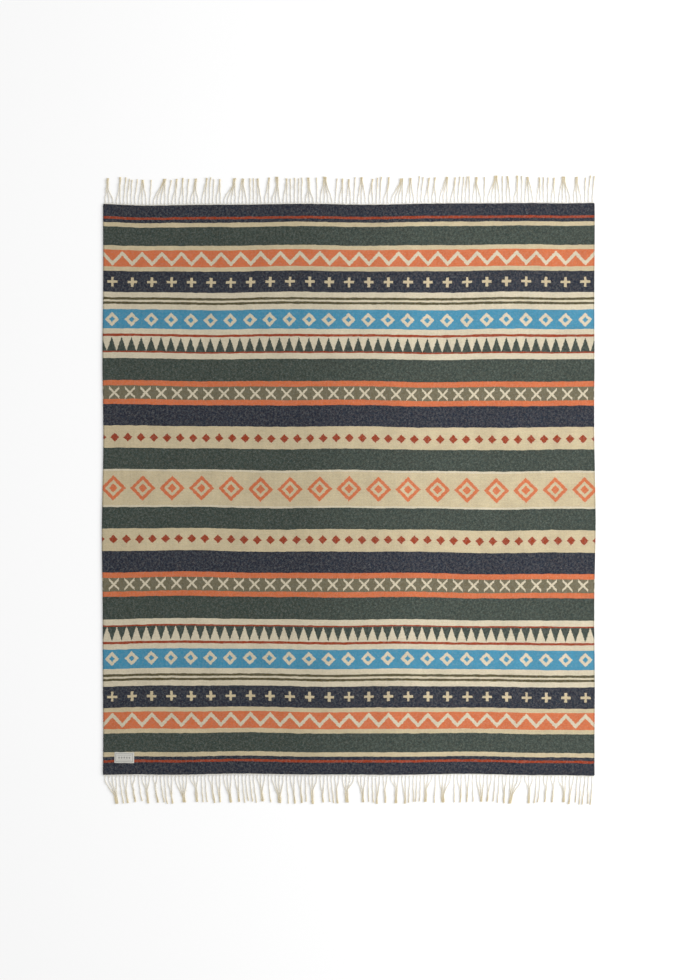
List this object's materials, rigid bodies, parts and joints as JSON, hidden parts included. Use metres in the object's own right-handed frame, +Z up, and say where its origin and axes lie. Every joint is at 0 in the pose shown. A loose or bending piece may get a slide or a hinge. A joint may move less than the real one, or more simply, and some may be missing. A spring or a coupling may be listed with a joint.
{
  "type": "wool blanket",
  "caption": "Rectangular woven wool blanket lying flat, face up, with a yarn fringe along both ends and a small sewn label at one corner.",
  "frame": {"origin": "under the middle of the whole blanket, fringes included, on the surface it lies on; the uneven outline puts the middle of the box within 4 mm of it", "axes": "+X across the width, +Y along the length towards the end away from the label, +Z up out of the face side"},
  "size_m": [1.3251, 1.6928, 0.0048],
  "materials": {
    "wool_cloth": "milled and lightly brushed wool, woven in heathered bands",
    "fringe_yarn": "undyed two-ply wool yarn, matt",
    "label_tape": "closely woven tape, slight sheen"
  },
  "bodies": {
    "root": {"blanket_cloth": "wool_cloth", "fringe_head": "fringe_yarn", "fringe_foot": "fringe_yarn", "sewn_label": "label_tape"}
  },
  "joints": []
}
